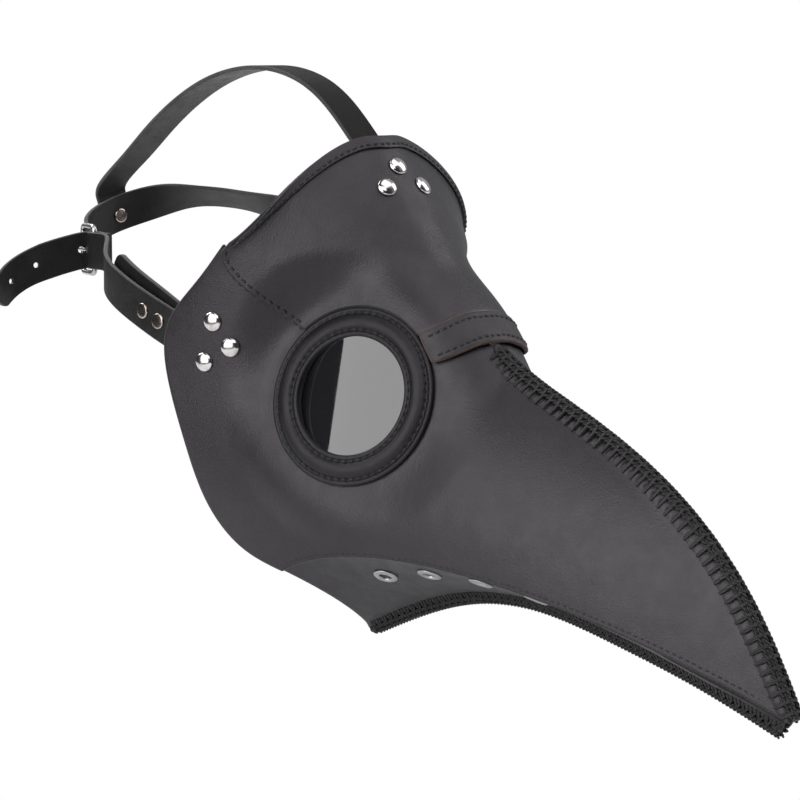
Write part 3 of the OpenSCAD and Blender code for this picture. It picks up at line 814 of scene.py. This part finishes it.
def overlock(at, out, panel_at, lo, hi, pitch, reach, fan=0.0, thick=0.95):
    """Blanket stitches over a seam from panel to panel, and ropes along both edges."""
    parts = []
    q = even(at, lo, hi, pitch)
    slope = (q[-1] - q[0]) / (len(q) - 1)
    steps = 23
    taper = 1 - 0.3 * np.abs(np.linspace(-1, 1, steps)) ** 8
    x = np.array([1.0, 0, 0])
    for value in q:
        centre, up = at(value), out(value)
        legs = (-fan, fan) if fan else (0.0,)
        for leg in legs:
            foot = np.clip(value + leg * slope, 0.001, q[-1] + slope / 2)
            far = reach(foot)
            shift = rng.normal(0, 0.12)
            side = [panel_at(foot, far + 0.3 + shift, -0.8), panel_at(foot, far + shift, 0.25),
                    panel_at(foot, far * 0.6, 0.5), panel_at(value + leg * slope * 0.5, far * 0.3, 0.65),
                    centre - x * 2.5 + up * 2.5, centre - x * 1.5 + up * 3.9, centre + up * 4.05]
            points = side + [p * [-1, 1, 1] for p in side[-2::-1]]
            parts.append(tube(curve_through(points, steps), thick * taper, 7))
    t = np.linspace(q[0] - slope * 0.4, q[-1] + slope * 0.4, len(q) * 14)
    path, up = at(t), out(t)
    along = unit(np.gradient(path, axis=0))
    for sign in (-1, 1):
        for across, high in ((1.35, 4.25), (2.75, 2.5)):
            parts.append(rope(path + up * high + x * sign * across, along, up, 1 / pitch, ROPE_R))
    return merge(*parts)


def puffs(at, panel_at, lo, hi, pitch, reach, high=0.75):
    """The edge of a panel, pinched under each stitch and puffed up between two."""
    q = even(at, lo, hi, pitch)
    slope = (q[-1] - q[0]) / (len(q) - 1)
    t = np.linspace(q[0] - slope / 2, q[-1] + slope / 2, len(q) * 8 + 1)
    phase = (t - q[0]) / slope
    across = np.linspace(0, 1, 8)
    rows_out, rows_in = [], []
    far = np.array([reach(v) for v in t])
    for share in across:
        crown = math.sin(math.pi * min(share * 0.86 + 0.12, 1)) ** 0.7
        swell = high * crown * np.abs(np.sin(math.pi * phase)) ** 0.6
        rows_out.append(panel_at(t, far * share * 0.98 + 0.4, swell + 0.02))
        rows_in.append(panel_at(t, far * share * 0.98 + 0.4, np.full_like(swell, -0.5)))
    return slab(np.stack(rows_out, 1), np.stack(rows_in, 1), rings=1, bulge=0.2)


def side_near_ridge(t, far, high):
    """A point on the side panel, this far from the ridge and square to it."""
    t = numbers(t)
    rib = surf(t, 0.96) - surf(t, 1.0)
    ridge = surf(np.minimum(t + STEP, LAST), 1.0) - surf(t - STEP, 1.0)
    cosine = (unit(rib) * unit(ridge)).sum(-1)
    sine = np.sqrt(1 - cosine ** 2)
    length = np.linalg.norm(rib, axis=-1) / 0.04
    slide = far * cosine / sine * 2 * STEP / np.linalg.norm(ridge, axis=-1)
    return keep_off(lift(np.clip(t - slide, 0, LAST), 1 - far / sine / length, LEATHER_T + high))


def under_near_keel(u, far, high):
    """A point on the under-beak panel, this far from the keel."""
    u = numbers(u)
    length = np.linalg.norm(under_mid(u, 1.0) - under_mid(u, 0.9), axis=-1) / 0.1
    return keep_off(under_lift(u, 1 - np.minimum(far / length, 0.9), LEATHER_T + high))


def keel_reach(u):
    """How far a keel stitch reaches over its panel, less where the panel narrows."""
    wide = np.linalg.norm(under_mid(u, 1.0) - under_mid(u, 0.0))
    return min(KEEL_REACH, wide * 0.7)


def ridge_reach(t):
    return RIDGE_REACH * (1 - 0.25 * smooth(6.2, 7, t))


RIDGE_REACH, KEEL_REACH, ROPE_R = 4.7, 6.0, 0.66
RIDGE_PITCH, KEEL_PITCH = 4.5, 4.0
ridge = (side_near_ridge, 2.79, 6.985, RIDGE_PITCH, ridge_reach)
keel = (under_near_keel, 0.008, 0.99, KEEL_PITCH, keel_reach)
make("ridge_edge", seam_core(front_at, front_out, 2.745, LAST - 0.001, 160), [TRIM], nodes=["ridge_seam"],
     slot="seam_thread")
both("ridge_pucker", puffs(front_at, *ridge), [SHELL, LINING, SHELL])
make("ridge_overlock", overlock(front_at, front_out, *ridge), [THREAD])
make("keel_edge", seam_core(keel_at, keel_out, 0.002, 0.985, 160), [TRIM], nodes=["keel_seam"],
     slot="seam_thread")
both("keel_pucker", puffs(keel_at, *keel, high=0.5), [SHELL, LINING, SHELL])
make("keel_overlock", overlock(keel_at, keel_out, *keel, fan=0.24, thick=0.62), [THREAD])


def on_shell(t, s, d, f=surf):
    """Points d outside the shell or the forehead, and the way the surface faces there."""
    t, s = numbers(t), numbers(s)
    n = unit(normal_of(surf, t, s)) if f is surf else brow_normal(t, s)
    return f(t, s) + n * d, n


def across_t(t, s, mm, f=surf):
    """The change of t that moves a point mm along the rib direction."""
    return mm * 2 * STEP / np.linalg.norm(f(t + STEP, s) - f(t - STEP, s), axis=-1)


s_line = np.linspace(0.03, 0.99, 300)
lower_row = on_shell(LAST - across_t(LAST - 0.05, s_line, 3.0), s_line, LEATHER_T)
both("lower_stitch", dashes(*lower_row, pitch=3.0, r=0.42), [THREAD])

near = brow_rows[brow_low > seam_t(brow_rows) - 1e-6]
near = near[near < 0.45]
low = seam_t(near)
upper = dashes(*on_shell(low - across_t(low, near, 1.9, brow), near, BROW_OUT, brow), pitch=3.5, r=0.66)
beside = dashes(*on_shell(low + across_t(low, near, 1.5), near, LEATHER_T), pitch=3.5, r=0.55)
both("temple_stitch", merge(upper, beside), [THREAD])

s_line = np.linspace(0.82, 1, 80)
for name, below in (("band_stitch_upper", 0.06), ("band_stitch_lower", 0.29)):
    t_line = seam_t(s_line) + HEM_START + below
    p = whole(brow_lift(t_line, s_line, HEM_OUT))
    n = whole(brow_normal(t_line, s_line))
    make(name, dashes(p, n, pitch=3.3, r=0.6), [THREAD])

s_line = np.linspace(0.1, 1, 240)
t_line = across_t(np.full_like(s_line, 0.05), s_line, 4.1, brow)
p = whole(brow_lift(t_line, s_line, BROW_OUT + LAY_GAP + BINDING_T))
n = whole(brow_normal(t_line, s_line))
make("forehead_stitch", dashes(p, n, pitch=3.4, r=0.62), [THREAD])

# ---- eyes
RING_BASE = LEATHER_T + LAY_GAP
ring_profile = rounded([(25, 0), (38, 0), (38, 1.3), (36.9, 2.0), (35.5, 1.5), (34.3, 2.5), (32.3, 3.5),
                        (30.3, 3.7), (29.0, 3.3), (27.9, 2.6), (26.8, 3.3), (25.5, 3.1), (25, 2.0)], 0.8, 4,
                       loop=True)
ring = lathe(ring_profile, RING_C + RING_N * RING_BASE, RING_N, 384, loop=True)
OUTER_ROW, INNER_ROW = 35.4, 27.9
OUTER_COUNT, INNER_COUNT = 64, 51


def pinched(part, radius, count, deep=0.45, wide=0.9):
    """Draws a padded ring down at the ends of each stitch of a round row."""
    p, faces, index = part
    x, y, z = basis(RING_N)
    d = p - RING_C
    u, v, h = d @ x, d @ y, d @ z
    near = np.exp(-((np.hypot(u, v) - radius) / wide) ** 2) * (h > RING_BASE + 0.9)
    wave = 0.5 + 0.5 * np.cos(np.arctan2(v, u) * count)
    return p - z * (near * deep * wave ** 1.5)[:, None], faces, index


ring = pinched(pinched(ring, OUTER_ROW, OUTER_COUNT), INNER_ROW, INNER_COUNT)
rings = both("eye_pad", ring, [RING], "eye_ring", sharp=60)


def circle(r, h, count=240):
    """A circle round the eye, and the way the ring faces there."""
    x, y, z = basis(RING_N)
    angle = np.linspace(0, 2 * math.pi, count)
    p = RING_C + z * h + (np.cos(angle)[:, None] * x + np.sin(angle)[:, None] * y) * r
    return p, np.tile(z, (count, 1))


ring_rows = merge(dashes(*circle(OUTER_ROW, RING_BASE + 1.8), count=OUTER_COUNT, share=0.8, r=0.55),
                  dashes(*circle(INNER_ROW, RING_BASE + 2.85), count=INNER_COUNT, share=0.8, r=0.52))
both("eye_stitch", ring_rows, [THREAD])
backing_profile = rounded([(25, 0), (36, 0), (36, 3.05), (30.1, 3.05), (30.1, 1.6), (25, 1.6)], 0.5, 3,
                          loop=True)
BACKING_DEPTH, LENS_OUT, LENS_R, LENS_T, LENS_BEND, LENS_SEGS = 3.3, 3.3, 25.35, 1.2, 160, 72
backing = lathe(backing_profile, RING_C - RING_N * BACKING_DEPTH, RING_N, 96, loop=True)
both("eye_backing_ring", backing, [LINING], "eye_backing", sharp=60)


def lens():
    """A thin disc, bent round an upright axis to bow out in the opening."""
    x, y, z = basis(RING_N)
    points, faces, sides = [], [], []
    for h in (LENS_OUT, LENS_OUT + LENS_T):
        rings = []
        for r in np.linspace(0, LENS_R, 16):
            ids = []
            for k in range(LENS_SEGS if r else 1):
                a = 2 * math.pi * k / LENS_SEGS
                u, v = r * math.cos(a), r * math.sin(a)
                ids.append(len(points))
                points.append(RING_C + x * u + y * v + z * (h - u * u / LENS_BEND))
            rings.append(ids)
        sides.append(rings)
    for side, rings in enumerate(sides):
        for a, b in zip(rings, rings[1:]):
            for k in range(LENS_SEGS):
                j = (k + 1) % LENS_SEGS
                face = [a[0], b[k], b[j]] if len(a) == 1 else [a[k], b[k], b[j], a[j]]
                faces.append(face if side else face[::-1])
    low, high = sides[0][-1], sides[1][-1]
    for k in range(LENS_SEGS):
        j = (k + 1) % LENS_SEGS
        faces.append([low[k], low[j], high[j], high[k]])
    return np.array(points), faces, [0] * len(faces)


both("lens_disc", lens(), [LENS], "lens", sharp=50)


# ---- rivets and eyelets
def dome(depth):
    """A polished dome cap outside, a shank, and a flat cap inside."""
    r, h, rim = 4.3, 2.3, 0.35
    outside = [(r * math.sin(a), rim + (h - rim) * math.cos(a)) for a in np.linspace(math.pi / 2, 0, 12)]
    inside = [(0, -depth - 1), (3.6, -depth - 1), (3.9, -depth - 0.1), (1.4, -depth), (1.4, 0.1), (4.05, 0.1)]
    return rounded(inside, 0.25, 3) + outside


def cap(depth):
    """A flat cap on each side of the strap, and the shank between."""
    r, h = 3.6, 0.9
    return rounded([(0, -depth - h), (r - 0.4, -depth - h), (r, -depth), (1.4, -depth), (1.4, 0.1), (r, 0.1),
                    (r - 0.35, h), (1.6, h + 0.12), (0, h + 0.15)], 0.35, 3)


# Thickness and width of strap and tab, and how far inside the shell they lie.
STRAP_T, STRAP_W, TAB_T = 1.9, 17.0, 2.2
STRAP_IN = 0.5
TAB_IN = STRAP_IN + STRAP_T + 0.3
SHANK_PLAY = 0.15
temple_depth = LEATHER_T + TAB_IN + TAB_T + SHANK_PLAY
# Where the rivets sit on the shell, as (t, s).
TEMPLE = [(1.974, 0.163), (2.425, 0.215), (2.665, 0.134)]
BROW_SIDE, BROW_MIDDLE = (0.66, 0.895), (0.4, 1.0)
domes = merge(*[lathe(dome(temple_depth), *on_shell(t, s, LEATHER_T)) for t, s in TEMPLE])
both("temple_dome", domes, [CHROME], "temple_rivets", sharp=40)
side_dome = lathe(dome(LEATHER_T + SHANK_PLAY), *on_shell(*BROW_SIDE, BROW_OUT, brow))
middle_dome = lathe(dome(LEATHER_T + 0.3 + STRAP_T + 0.3), *on_shell(*BROW_MIDDLE, BROW_OUT, brow))
front_domes = merge(middle_dome, side_dome, mirrored(side_dome))
make("forehead_dome", front_domes, [CHROME], nodes=["forehead_rivets"], sharp=40)

eyelet_profile = rounded([(2.6, -0.9), (4.4, -0.9), (4.4, -0.2), (3.3, -0.2), (3.3, 2.0), (5.4, 2.0),
                          (5.0, 2.6), (3.9, 2.95), (3.0, 2.8), (2.6, 2.2)], 0.45, 4, loop=True)
EYELETS = [(0.198, 0.36), (0.316, 0.34), (0.43, 0.36), (0.54, 0.4)]
eyelets = merge(*[lathe(eyelet_profile, under_mid(u, v), under_normal(u, v), 40, loop=True)
                  for u, v in EYELETS])
both("eyelet_set", eyelets, [EYELET], "eyelets", sharp=50)


# ---- harness
def strap_frames(path, lay, u):
    """Along a strap: its middle, the way its width lies, and the way its face looks."""
    path, lay = np.array(path, float), np.array(lay, float)
    last = len(path) - 1
    a = unit(spline(path, np.minimum(u + STEP, last)) - spline(path, np.maximum(u - STEP, 0)))
    g = spline(lay, u * (len(lay) - 1) / last)
    w = unit(g - (g * a).sum(-1, keepdims=True) * a)
    return spline(path, u), w, np.cross(w, a)


UP = [[0, 0, 1], [0, 0, 1]]
HEEL, turned = np.array([-38.0, 150, 37]), math.radians(75)


def from_heel(x, y, z):
    """A place measured from the buckle's heel bar: x towards the buckle's far side, y outward."""
    c, s = math.cos(turned), math.sin(turned)
    return HEEL + [x * c - y * s, x * s + y * c, z]


def by_heel(*places):
    return [from_heel(*place) for place in places]


def band(path, lay, n, thick=STRAP_T, end_w=STRAP_W, round_end=0.0):
    """A flat leather band with softly rounded corners. Face 0, back 1, cut edges 2."""
    centre, wide, out = strap_frames(path, lay, np.linspace(0, len(path) - 1, n))
    width = STRAP_W + (end_w - STRAP_W) * np.linspace(0, 1, n)
    reach = distances(centre)
    if round_end:
        left = np.clip((reach[-1] - reach) / round_end, 0, 1)
        width = width * np.sqrt(np.clip(1 - (1 - left) ** 2, 0.02, 1))
    w, t = STRAP_W / 2, thick / 2
    flat, slope, bow = 0.45, 0.3, 0.1
    section = [(-w + flat, -t), (0, -t), (w - flat, -t), (w - bow, -t + slope), (w, 0), (w - bow, t - slope),
               (w - flat, t), (0, t), (-w + flat, t), (-w + bow, t - slope), (-w, 0), (-w + bow, -t + slope)]
    index = [1, 1, 2, 2, 2, 2, 0, 0, 2, 2, 2, 2]
    return sweep(centre, wide, out, section, index, scale=width / STRAP_W)


strap_mid, tab_mid = STRAP_IN + STRAP_T / 2, TAB_IN + TAB_T / 2
LOBE = [lift(2.62, 0.26, -strap_mid), lift(2.48, 0.16, -strap_mid), lift(2.3, 0.07, -strap_mid)]
LOBE_TAB = [lift(2.56, 0.26, -tab_mid), lift(2.42, 0.16, -tab_mid), lift(2.22, 0.07, -tab_mid)]
RIGHT = LOBE + [[-70, 60, 12], [-70.5, 74, 17.5], [-68.5, 92, 23.5], [-62, 112, 30],
                *by_heel((-20, 0, 0), (-9, 1.2, 0), (-4, 2.3, 0), (0, 2.7, 0), (2.6, 1.6, 0), (3.1, 0, 0),
                         (2.6, -1.6, 0), (0, -2.7, 0), (-4, -2.3, 0), (-9, -1.6, 0), (-14, -2.2, 0))]
LEFT = [p * [-1, 1, 1] for p in LOBE] + [[70, 60, 13], [71, 74, 22], [73, 95, 35],
        [71, 122, 47], [62, 152, 56], [42, 179, 60], [16, 190, 54], [-8, 189, 47], [-24, 178, 41],
        *by_heel((18, -5.6, 0), (13, -5, 0), (8.4, -3, 0), (6.6, 0.4, 0), (6.2, 4, -0.4), (6.2, 8, -1.2))]
TAB_PATH = LOBE_TAB + [[-65.8, 60, 16], [-65.5, 74, 22], [-63.5, 90, 28], [-60, 104, 34]]


BACK_LEAN = math.radians(58)
JOIN_U = 9.45


def left_lay(u):
    """Round the back of the head the left strap leans in at its top edge."""
    k = BACK_LEAN * smooth(6, 7, u) * (1 - smooth(8, 9, u))
    return [-0.8 * math.sin(k), -0.6 * math.sin(k), math.cos(k)]


JOIN_P, JOIN_W, JOIN_O = [v[0] for v in strap_frames(LEFT, UP, np.array([JOIN_U]))]


def on_join(u, d):
    """A place on the left strap where the top strap joins it: u up its width, d off its face."""
    return JOIN_P + JOIN_W * u - JOIN_O * d


TOP = [surf(0.98, 1.0), surf(0.75, 1.0), surf(0.45, 1.0) + [0, 0.3, 0],
       [0, -3.5, 82], [0, 5.5, 90], [0, 18.5, 103], [0, 35, 114.5], [0, 58, 121], [0, 82, 121],
       [0, 107, 115.5], [0, 130, 105], [0, 150, 92.5], [0, 167, 79],
       on_join(14, 3.4), on_join(8, 2.3), on_join(0, 2.3), on_join(-8.4, 2.4)]
TOP_LAY = [[-1, 0, 0], [-1, 0, 0], [-1, 0, 0], [-1, 0, 0], [-0.96, 0, -0.26]]
belt = [STRAP, STRAP_BACK, CUT]


def punched(piece, holes):
    """Cuts round holes, each (point, direction, radius), in a strap."""
    for k, (p, n, r) in enumerate(holes):
        me = bpy.data.meshes.new(f"{piece.name}_cut{k}")
        pts, faces, _ = lathe([(0, -4), (r, -4), (r, 4), (0, 4)], p, n, 28)
        me.from_pydata((pts * MM).tolist(), [], faces)
        cutter = placed(me.name, me)
        mod = piece.modifiers.new("hole", "BOOLEAN")
        mod.operation, mod.object, mod.solver = "DIFFERENCE", cutter, "EXACT"
        mesh = bpy.data.meshes.new_from_object(piece.evaluated_get(bpy.context.evaluated_depsgraph_get()))
        piece.modifiers.clear()
        piece.data = mesh
        bpy.data.objects.remove(cutter)


make("strap_near", band(RIGHT, UP, 190), belt, nodes=["strap_right"])
tab = band(TAB_PATH, UP, 70, TAB_T, STRAP_W - 2, round_end=7)
both("tab_end", tab, belt, "anchor_tab")
make("strap_crown", band(TOP, TOP_LAY, 170, round_end=6), belt, nodes=["strap_top"])

# The left strap runs on past the buckle. One band bends into the tail, and a second one on into the tip.
FAR = LEFT + by_heel((6.4, 16, -3.1), (6.7, 22, -4.95))
FAR_LAY = [left_lay(h / 2) for h in range(2 * len(FAR) - 1)]
END = by_heel((6.68, 21.6, -4.82), (6.85, 26, -6.35), (7, 31.7, -8.7), (6.4, 38, -12.4), (4.5, 43, -17),
              (1.8, 46.5, -22))
far_strap = make("strap_far", band(FAR, FAR_LAY, 230), belt, body=None, nodes=["strap_left"])
end_strap = make("strap_end", band(END, UP, 60, end_w=STRAP_W - 2.5, round_end=4), belt, body=None,
                 nodes=["strap_tail", "strap_tip"])

WIRE_R, BUCKLE_L, BUCKLE_PLAY, PRONG_R = 1.25, 14, 1, 0.8


def buckle_wire():
    h = STRAP_W / 2 + BUCKLE_PLAY + WIRE_R
    loop = rounded([(0, -h), (BUCKLE_L, -h), (BUCKLE_L, h), (0, h)], 2.4, 6, loop=True)
    flat = np.array([from_heel(x, 0, z) for x, z in loop])
    flat = np.concatenate([flat, flat[:1]])
    return tube(resample(flat, 121)[:-1], WIRE_R, 14, loop=True)


make("buckle_wire", buckle_wire(), [STEEL], body="buckle", nodes=["buckle_frame"],
     sharp=60)


def prong():
    """A pin on a sleeve round the heel bar, with a blunt point."""
    bore, wall, h = WIRE_R + 0.08, 1, 1.6
    profile = rounded([(bore, -h), (bore + wall, -h), (bore + wall, h), (bore, h)], 0.25, 3, loop=True)
    sleeve = lathe(profile, HEEL, [0, 0, 1], 32, loop=True)
    up = WIRE_R + 0.15 + PRONG_R
    path = curve_through([from_heel(x, up, 0) for x in (0, 5, 11, BUCKLE_L + 2)], 24)
    return merge(sleeve, tube(path, np.concatenate([np.full(20, PRONG_R), [0.78, 0.7, 0.55, 0.3]]), 12))


make("prong_pin", prong(), [STEEL], body="prong", nodes=["buckle_prong"], sharp=50)


def strap_caps():
    parts = []
    for u in (3.05, 3.72):
        c, _, o = strap_frames(RIGHT, UP, np.array([u]))
        parts.append(lathe(cap(STRAP_T + TAB_T + 2.8), c[0] + o[0] * STRAP_T / 2, o[0], 40))
    return merge(*parts)


both("strap_cap", strap_caps(), [NICKEL], "strap_rivets", sharp=40)
crown_cap = lathe(cap(2.3 + STRAP_T + 0.2), on_join(-1, 2.3 + STRAP_T / 2), -JOIN_O, 40)
make("crown_cap", crown_cap, [NICKEL], nodes=["top_strap_rivet"], sharp=40)


def hole_at(path, u):
    """A hole through a strap: its middle, direction and radius."""
    c, _, o = strap_frames(path, UP, np.array([u]))
    return c[0], o[0], 1.3


# The prong's slot: round cuts close enough together to leave one long opening.
SLOT_R, SLOT_ENDS = 1.5, (0.6, 4.5)
across = from_heel(1, 0, 0) - HEEL
punched(far_strap, [(from_heel(5.2, y, 0), across, SLOT_R) for y in np.linspace(*SLOT_ENDS, 6)])
punched(end_strap, [hole_at(END, 1.0), hole_at(END, 3.2)])
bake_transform(far_strap)
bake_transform(end_strap)


# ---- floor and light
def seen_white(tree, lighting, output):
    """Seen directly it is plain white; to reflected and scattered light it is the given shader."""
    white = add(tree, "ShaderNodeEmission", Strength=1.0)
    ray, mixed = tree.nodes.new("ShaderNodeLightPath"), tree.nodes.new("ShaderNodeMixShader")
    tree.links.new(ray.outputs["Is Camera Ray"], mixed.inputs[0])
    tree.links.new(lighting, mixed.inputs[1])
    tree.links.new(white.outputs[0], mixed.inputs[2])
    tree.links.new(mixed.outputs[0], output)


floor_mat, tree, bsdf = shader("floor", (0.6, 0.6, 0.605), 0.55)
bsdf.inputs["Emission Color"].default_value = (1, 1, 1, 1)
bsdf.inputs["Emission Strength"].default_value = 0.22
gloss(tree, bsdf, noise(tree, coords(tree), 3, 3), 0.2, 0.8, 0.5, 0.62)
seen_white(tree, bsdf.outputs[0], tree.nodes["Material Output"].inputs["Surface"])
FLOOR_LO, FLOOR_X, FLOOR_Y, FLOOR_DROP = -0.4, 0.9, 1.0, 0.004
z = cad_lo[2] - FLOOR_DROP
corners = [(FLOOR_LO, FLOOR_LO, z), (FLOOR_X, FLOOR_LO, z), (FLOOR_X, FLOOR_Y, z), (FLOOR_LO, FLOOR_Y, z)]
me = bpy.data.meshes.new("floor")
me.from_pydata(corners, [], [(0, 1, 2, 3)])
me.materials.append(floor_mat)
floor = placed("floor", me)

# The room lights the mask mostly from the wearer's left, +X; the other side is dim.
world = bpy.data.worlds.new("studio")
bpy.context.scene.world = world
world.use_nodes = True
tree = world.node_tree
around = tree.nodes["Background"]
around.inputs["Color"].default_value = (0.97, 0.96, 1.0, 1)
direction = tree.nodes.new("ShaderNodeTexCoord")
towards = add(tree, "ShaderNodeVectorMath", operation="DOT_PRODUCT")
towards.inputs[1].default_value = (0.95, 0.3, 0.0)
tree.links.new(direction.outputs["Generated"], towards.inputs[0])
tree.links.new(ranged(tree, towards.outputs["Value"], -0.1, 0.7, 0.03, 0.4), around.inputs["Strength"])
seen_white(tree, around.outputs[0], tree.nodes["World Output"].inputs["Surface"])
bpy.context.scene.view_settings.view_transform = "Standard"


def softbox(name, place, aim, size, power):
    """A rectangular lamp at a place in metres, aimed at a point."""
    data = bpy.data.lights.new(name, "AREA")
    data.shape, data.size, data.size_y, data.energy = "RECTANGLE", size[0], size[1], power
    lamp = placed(name, data)
    lamp.location = place
    lamp.rotation_mode = "QUATERNION"
    lamp.rotation_quaternion = (Vector(aim) - Vector(place)).to_track_quat("-Z", "Y")


softbox("left", (-1.40, -0.17, 0.45), (0, -0.17, 0.1), (1.47, 1.6), 23)
softbox("front", (-0.85, -0.95, 1.05), (0, 0, 0.03), (1.0, 0.8), 6.5)
softbox("overhead", (0.15, -0.45, 1.5), (0, -0.03, 0), (1.3, 1.3), 9)
softbox("back_top", (-0.25, 1.25, 1.15), (0, 0, 0), (1.5, 1.0), 19)
softbox("rim", (1.3, -0.7, 0.8), (0, -0.1, 0), (0.8, 1.2), 10)
